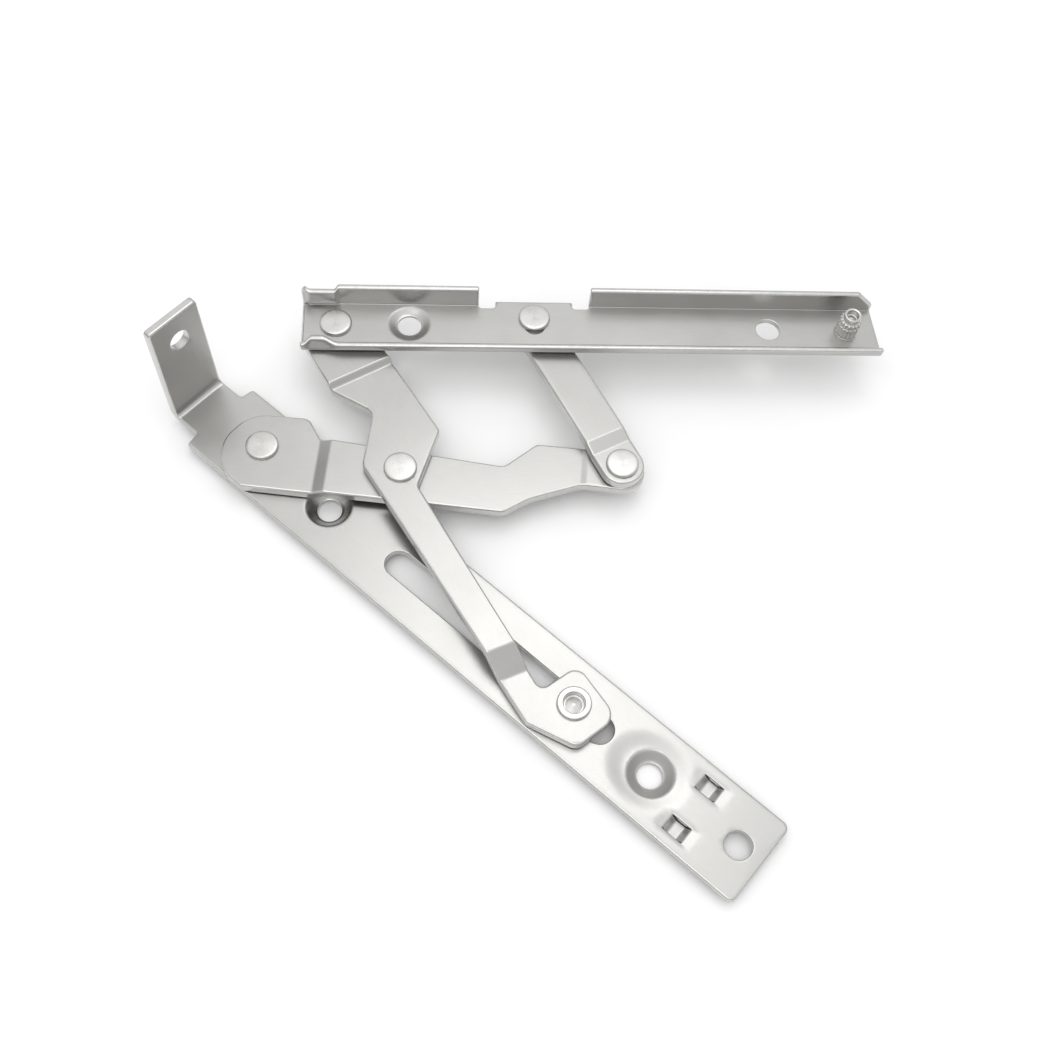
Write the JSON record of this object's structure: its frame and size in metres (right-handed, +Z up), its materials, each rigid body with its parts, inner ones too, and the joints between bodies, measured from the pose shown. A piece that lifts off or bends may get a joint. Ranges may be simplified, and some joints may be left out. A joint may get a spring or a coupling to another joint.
{
  "type": "friction stay hinge",
  "caption": "Stainless four-bar friction stay hinge for a side hung window: grooved frame plate, folding links and a sash channel.",
  "frame": {"origin": "centre of the toe screw hole, half way through the frame plate", "axes": "+X along the frame plate from the upright tab to the toe, +Y to the side the sash opens to, +Z up from the plate along the screw holes"},
  "size_m": [0.1782, 0.1456, 0.0355],
  "materials": {
    "stamped_stainless": "satin tumbled",
    "rivet_stainless": "satin turned",
    "nylon": "matte"
  },
  "bodies": {
    "frame": {"frame_plate": "stamped_stainless", "main_rivet": "rivet_stainless", "main_washer": "nylon"},
    "long_arm": {"long_arm": "stamped_stainless", "guide_rivet": "rivet_stainless", "link_rivet": "rivet_stainless", "guide_washer": "nylon", "link_washer": "nylon"},
    "guide_arm": {"guide_arm": "stamped_stainless", "slider_rivet": "rivet_stainless", "slider_bush": "nylon", "slider_washer": "rivet_stainless", "slider_glide": "nylon"},
    "short_link": {"short_link": "stamped_stainless"},
    "sash_channel": {"sash_channel": "stamped_stainless", "heel_rivet": "rivet_stainless", "sash_rivet": "rivet_stainless", "heel_washer": "nylon", "sash_washer": "nylon", "knurled_stud": "rivet_stainless"}
  },
  "joints": [
    {"name": "arm_swing", "type": "hinge", "parent": "frame", "child": "long_arm", "pos_m": [-0.1465, 0, 0.00365], "axis": [0, 0, 1], "range_deg": [-37.4, 15.4]},
    {"name": "guide_swing", "type": "hinge", "parent": "long_arm", "child": "guide_arm", "pos_m": [-0.1158, 0.0166, 0.00785], "axis": [0, 0, 1], "range_deg": [-22.57, 54.75]},
    {"name": "sash_swing", "type": "hinge", "parent": "guide_arm", "child": "sash_channel", "pos_m": [-0.1551, 0.0349, 0.00925], "axis": [0, 0, 1], "range_deg": [-59.85, 24.67]},
    {"name": "link_swing", "type": "hinge", "parent": "long_arm", "child": "short_link", "pos_m": [-0.07685, 0.05375, 0.00815], "axis": [0, 0, 1], "range_deg": [-22.58, 54.77]}
  ],
  "couplings": [
    {"joint": "guide_swing", "follows": "arm_swing", "ratio": -1.4626},
    {"joint": "sash_swing", "follows": "arm_swing", "ratio": 1.599},
    {"joint": "link_swing", "follows": "arm_swing", "ratio": -1.4632}
  ]
}
